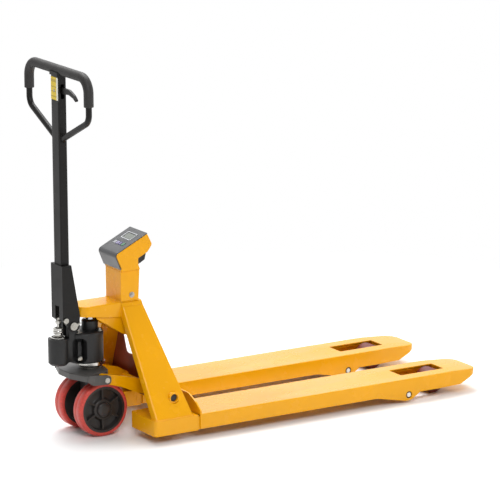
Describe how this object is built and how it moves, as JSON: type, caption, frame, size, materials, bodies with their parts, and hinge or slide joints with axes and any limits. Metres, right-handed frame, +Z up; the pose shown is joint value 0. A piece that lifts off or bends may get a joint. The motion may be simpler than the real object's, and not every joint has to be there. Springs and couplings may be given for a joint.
{
  "type": "pallet scale",
  "caption": "Hand pallet truck with weighing forks: steering pump head, upright handle with a loop grip, A-frame, and an indicator slanted on a short column.",
  "frame": {"origin": "floor level, under the middle of the whole truck between the rear pump cylinder and the fork tips", "axes": "+X along the forks towards their tips, +Y to the left, +Z up"},
  "size_m": [1.496, 0.555, 1.227],
  "materials": {
    "frame_paint": "gloss orange-yellow powder coat",
    "black_paint": "satin black paint",
    "pump_paint": "black painted casting",
    "yoke_paint": "dark grey painted casting",
    "zinc_steel": "zinc plated",
    "bright_steel": "hard chrome",
    "tread": "red polyurethane tread",
    "rim_paint": "dark grey painted casting",
    "roller_tread": "dark red polyurethane",
    "grip_rubber": "matt black",
    "panel_plastic": "dark grey film",
    "lens": "clear window over a grey display",
    "key_rubber": "soft keys",
    "case_plastic": "black case",
    "cell_alloy": "machined alloy"
  },
  "bodies": {
    "yoke": {"yoke": "yoke_paint", "yoke_pins": "zinc_steel", "thrust_ring": "zinc_steel"},
    "steering_head": {"pump_body": "pump_paint", "pump_cylinder": "zinc_steel", "wheel_carrier": "pump_paint", "steering_axle": "zinc_steel", "wheel_clips": "zinc_steel", "tilt_pin": "zinc_steel", "tilt_clip": "zinc_steel"},
    "ram": {"ram": "bright_steel"},
    "plunger": {"pump_plunger": "bright_steel", "plunger_spring": "zinc_steel"},
    "valve_lever": {"valve_lever": "zinc_steel"},
    "handle": {"handle_bracket": "black_paint", "thumb_pin": "zinc_steel", "mast_tube": "black_paint", "handle_loop": "black_paint", "handle_grip": "grip_rubber", "release_rod": "zinc_steel", "lever_pin": "zinc_steel"},
    "control_lever": {"control_lever": "black_paint"},
    "fork_frame": {"frame_bridge": "frame_paint", "front_panel": "frame_paint", "head_beam": "frame_paint", "beam_gussets": "frame_paint", "ram_seat": "zinc_steel", "load_cells": "cell_alloy", "load_cell_feet": "zinc_steel", "fork_pins": "zinc_steel", "rocker_bushes": "zinc_steel", "column": "frame_paint", "column_screws": "zinc_steel", "indicator_housing": "frame_paint", "indicator_panel": "panel_plastic", "display_lens": "lens", "battery_box": "case_plastic", "fork_shell_left": "frame_paint", "fork_shell_right": "frame_paint", "inner_fork_left": "frame_paint", "inner_fork_right": "frame_paint", "side_leg_left": "frame_paint", "side_leg_right": "frame_paint"},
    "rocker": {"rocker": "frame_paint"},
    "wheel_left": {"tyre_left": "tread", "wheel_rim_left": "rim_paint", "wheel_bearings_left": "zinc_steel"},
    "push_rod_left": {"push_rod_left": "frame_paint"},
    "roller_lever_left": {"roller_lever_left": "frame_paint"},
    "load_roller_left": {"load_roller_left": "roller_tread"},
    "wheel_right": {"tyre_right": "tread", "wheel_rim_right": "rim_paint", "wheel_bearings_right": "zinc_steel"},
    "push_rod_right": {"push_rod_right": "frame_paint"},
    "roller_lever_right": {"roller_lever_right": "frame_paint"},
    "load_roller_right": {"load_roller_right": "roller_tread"},
    "key_tare": {"key_tare": "key_rubber"},
    "key_zero": {"key_zero": "key_rubber"},
    "key_print": {"key_print": "key_rubber"},
    "key_power": {"key_power": "key_rubber"}
  },
  "joints": [
    {"name": "lift", "type": "slide", "parent": "yoke", "child": "fork_frame", "axis": [0, 0, 1], "range_m": [0, 0.115]},
    {"name": "steer", "type": "hinge", "parent": "yoke", "child": "steering_head", "pos_m": [-0.597, 0, 0.2], "axis": [0, 0, 1], "range_deg": [-95, 95]},
    {"name": "ram_slide", "type": "slide", "parent": "steering_head", "child": "ram", "axis": [0, 0, 1], "range_m": [0, 0.115]},
    {"name": "handle_tilt", "type": "hinge", "parent": "steering_head", "child": "handle", "pos_m": [-0.677, 0, 0.37], "axis": [0, -1, 0], "range_deg": [0, 75], "stiffness_Nm_per_rad": 45, "springref_deg": -11.46},
    {"name": "pump_stroke", "type": "slide", "parent": "steering_head", "child": "plunger", "axis": [0, 0, -1], "range_m": [0, 0.0448], "deforming": ["plunger_spring"]},
    {"name": "control_lever_turn", "type": "hinge", "parent": "handle", "child": "control_lever", "pos_m": [-0.6965, 0, 1.145], "axis": [1, 0, 0], "range_deg": [-8, 8], "stiffness_Nm_per_rad": 15},
    {"name": "valve_lever_turn", "type": "hinge", "parent": "steering_head", "child": "valve_lever", "pos_m": [-0.6585, -0.03, 0.261], "axis": [0, 1, 0], "range_deg": [-6.5, 6.5]},
    {"name": "rocker_turn", "type": "hinge", "parent": "fork_frame", "child": "rocker", "pos_m": [-0.421, 0, 0.138], "axis": [0, 1, 0], "range_deg": [-36.3, 0]},
    {"name": "wheel_left_spin", "type": "hinge", "parent": "steering_head", "child": "wheel_left", "pos_m": [-0.597, 0.062, 0.09], "axis": [0, 1, 0], "continuous": true},
    {"name": "push_rod_left_turn", "type": "hinge", "parent": "rocker", "child": "push_rod_left", "pos_m": [-0.4387, 0.1875, 0.08382], "axis": [0, 1, 0], "range_deg": [0, 36.3]},
    {"name": "roller_lever_left_turn", "type": "hinge", "parent": "fork_frame", "child": "roller_lever_left", "pos_m": [0.463, 0.1875, 0.027], "axis": [0, 1, 0], "range_deg": [0, 52]},
    {"name": "load_roller_left_spin", "type": "hinge", "parent": "roller_lever_left", "child": "load_roller_left", "pos_m": [0.603, 0.1875, 0.04], "axis": [0, 1, 0], "continuous": true},
    {"name": "wheel_right_spin", "type": "hinge", "parent": "steering_head", "child": "wheel_right", "pos_m": [-0.597, -0.062, 0.09], "axis": [0, 1, 0], "continuous": true},
    {"name": "push_rod_right_turn", "type": "hinge", "parent": "rocker", "child": "push_rod_right", "pos_m": [-0.4387, -0.1875, 0.08382], "axis": [0, 1, 0], "range_deg": [0, 36.3]},
    {"name": "roller_lever_right_turn", "type": "hinge", "parent": "fork_frame", "child": "roller_lever_right", "pos_m": [0.463, -0.1875, 0.027], "axis": [0, 1, 0], "range_deg": [0, 52]},
    {"name": "load_roller_right_spin", "type": "hinge", "parent": "roller_lever_right", "child": "load_roller_right", "pos_m": [0.603, -0.1875, 0.04], "axis": [0, 1, 0], "continuous": true},
    {"name": "key_tare_press", "type": "slide", "parent": "fork_frame", "child": "key_tare", "axis": [0.4305, 0, -0.9026], "range_m": [0, 0.0008], "stiffness_N_per_m": 600},
    {"name": "key_zero_press", "type": "slide", "parent": "fork_frame", "child": "key_zero", "axis": [0.4305, 0, -0.9026], "range_m": [0, 0.0008], "stiffness_N_per_m": 600},
    {"name": "key_print_press", "type": "slide", "parent": "fork_frame", "child": "key_print", "axis": [0.4305, 0, -0.9026], "range_m": [0, 0.0008], "stiffness_N_per_m": 600},
    {"name": "key_power_press", "type": "slide", "parent": "fork_frame", "child": "key_power", "axis": [0.4305, 0, -0.9026], "range_m": [0, 0.0008], "stiffness_N_per_m": 600}
  ],
  "couplings": [
    {"joint": "ram_slide", "follows": "lift", "ratio": 1},
    {"joint": "rocker_turn", "follows": "lift", "rad_per_m": -5.4914},
    {"joint": "pump_stroke", "follows": "handle_tilt", "m_per_rad": 0.034148},
    {"joint": "valve_lever_turn", "follows": "control_lever_turn", "ratio": 0.8},
    {"joint": "push_rod_left_turn", "follows": "lift", "rad_per_m": 5.4914},
    {"joint": "roller_lever_left_turn", "follows": "lift", "rad_per_m": 7.8633},
    {"joint": "push_rod_right_turn", "follows": "lift", "rad_per_m": 5.4914},
    {"joint": "roller_lever_right_turn", "follows": "lift", "rad_per_m": 7.8633}
  ]
}
